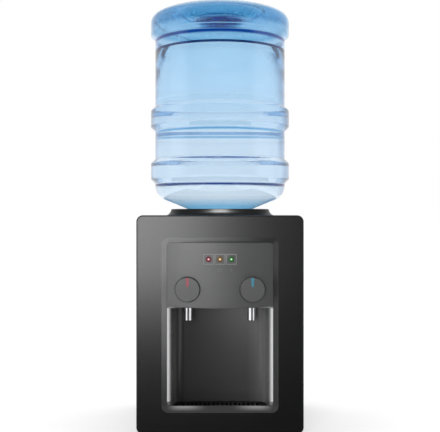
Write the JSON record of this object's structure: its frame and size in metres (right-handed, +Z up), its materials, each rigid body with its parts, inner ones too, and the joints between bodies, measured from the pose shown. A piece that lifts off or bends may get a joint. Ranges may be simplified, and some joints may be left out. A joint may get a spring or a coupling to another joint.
{
  "type": "desktop bottled-water dispenser",
  "caption": "Desktop water dispenser with an inverted blue bottle on a black box, hot and cold tap knobs, nozzles and a niche with a lift-out drip tray.",
  "frame": {"origin": "on the floor under the bottle's axis, which is the middle of the bounding box", "axes": "+Z up, the taps and niche face -Y, +X is the right-hand side seen from the front"},
  "size_m": [0.3, 0.311, 0.7985],
  "materials": {
    "gloss_black": "gloss",
    "casing_black": "satin",
    "sheet_black": "satin",
    "panel_grey": "satin",
    "niche_black": "gloss",
    "tray_black": "satin",
    "knob_grey": "satin",
    "pointer_red": "satin",
    "pointer_blue": "satin",
    "lens_red": "gloss",
    "lens_amber": "gloss",
    "lens_green": "gloss",
    "frame_silver": "satin",
    "chrome": "polished",
    "bottle_blue": "gloss",
    "cap_white": "satin",
    "natural_plastic": "satin",
    "dark_plastic": "matte",
    "rocker_red": "gloss",
    "rocker_green": "gloss",
    "stainless": "satin",
    "zinc_steel": "satin",
    "aluminium": "satin",
    "heater_steel": "satin",
    "peltier_ceramic": "matte",
    "foam_white": "matte",
    "silicone": "satin",
    "foot_rubber": "matte",
    "board_green": "satin"
  },
  "bodies": {
    "casing": {"base": "casing_black", "bottle_collar": "gloss_black", "bottle_seat": "natural_plastic", "casing_screws": "stainless", "cold_block": "aluminium", "cold_nozzle": "chrome", "cold_outlet_tube": "silicone", "cold_tank": "stainless", "cold_tank_baffle": "natural_plastic", "cold_tank_insulation": "foam_white", "cold_tank_lid": "natural_plastic", "cold_tap_body": "natural_plastic", "control_panel": "panel_grey", "cool_switch_housing": "dark_plastic", "cord_gland": "dark_plastic", "drain_cap": "dark_plastic", "drain_spout": "dark_plastic", "drain_tube": "silicone", "fan_frame": "dark_plastic", "feed_probe": "natural_plastic", "feet": "foot_rubber", "front_panel": "gloss_black", "heat_sink": "aluminium", "heat_switch_housing": "dark_plastic", "heater_band": "heater_steel", "hot_feed_tube": "silicone", "hot_nozzle": "chrome", "hot_outlet_tube": "silicone", "hot_tank": "stainless", "hot_tank_bracket": "zinc_steel", "hot_tap_body": "natural_plastic", "indicator_board": "board_green", "indicator_frames": "frame_silver", "indicator_lens_amber": "lens_amber", "indicator_lens_green": "lens_green", "indicator_lens_red": "lens_red", "left_side_panel": "sheet_black", "mid_shelf": "zinc_steel", "niche_liner": "niche_black", "peltier_module": "peltier_ceramic", "power_board": "board_green", "rear_panel": "sheet_black", "right_side_panel": "sheet_black", "seat_seal": "silicone", "tap_glands": "dark_plastic", "thermostats": "dark_plastic", "top_cover": "casing_black"},
    "hot_valve": {"hot_knob": "knob_grey", "hot_knob_pointer": "pointer_red", "hot_tap_rotor": "natural_plastic"},
    "cold_valve": {"cold_knob": "knob_grey", "cold_knob_pointer": "pointer_blue", "cold_tap_rotor": "natural_plastic"},
    "fan": {"fan_rotor": "dark_plastic"},
    "heat_switch": {"heat_switch_rocker": "rocker_red"},
    "cool_switch": {"cool_switch_rocker": "rocker_green"},
    "tray": {"drip_tray": "tray_black"},
    "grille": {"drip_grille": "tray_black"},
    "bottle": {"bottle": "bottle_blue", "bottle_cap": "cap_white"}
  },
  "joints": [
    {"name": "hot_knob_turn", "type": "hinge", "parent": "casing", "child": "hot_valve", "pos_m": [-0.0583, -0.112, 0.267], "axis": [0, 1, 0], "range_deg": [0, 90]},
    {"name": "cold_knob_turn", "type": "hinge", "parent": "casing", "child": "cold_valve", "pos_m": [0.0583, -0.112, 0.267], "axis": [0, 1, 0], "range_deg": [0, 90]},
    {"name": "fan_spin", "type": "hinge", "parent": "casing", "child": "fan", "pos_m": [0, 0.131, 0.281], "axis": [0, 1, 0], "continuous": true},
    {"name": "heat_switch_rock", "type": "hinge", "parent": "casing", "child": "heat_switch", "pos_m": [0.066, 0.143, 0.15], "axis": [1, 0, 0], "range_deg": [0, 18]},
    {"name": "cool_switch_rock", "type": "hinge", "parent": "casing", "child": "cool_switch", "pos_m": [0.1, 0.143, 0.15], "axis": [1, 0, 0], "range_deg": [0, 18]},
    {"name": "tray_draw", "type": "slide", "parent": "casing", "child": "tray", "axis": [0, -0.6, 0.8], "range_m": [0, 0.13]},
    {"name": "grille_lift", "type": "slide", "parent": "tray", "child": "grille", "axis": [0, 0, 1], "range_m": [0, 0.03]},
    {"name": "bottle_lift", "type": "slide", "parent": "casing", "child": "bottle", "axis": [0, 0, 1], "range_m": [0, 0.12]}
  ]
}
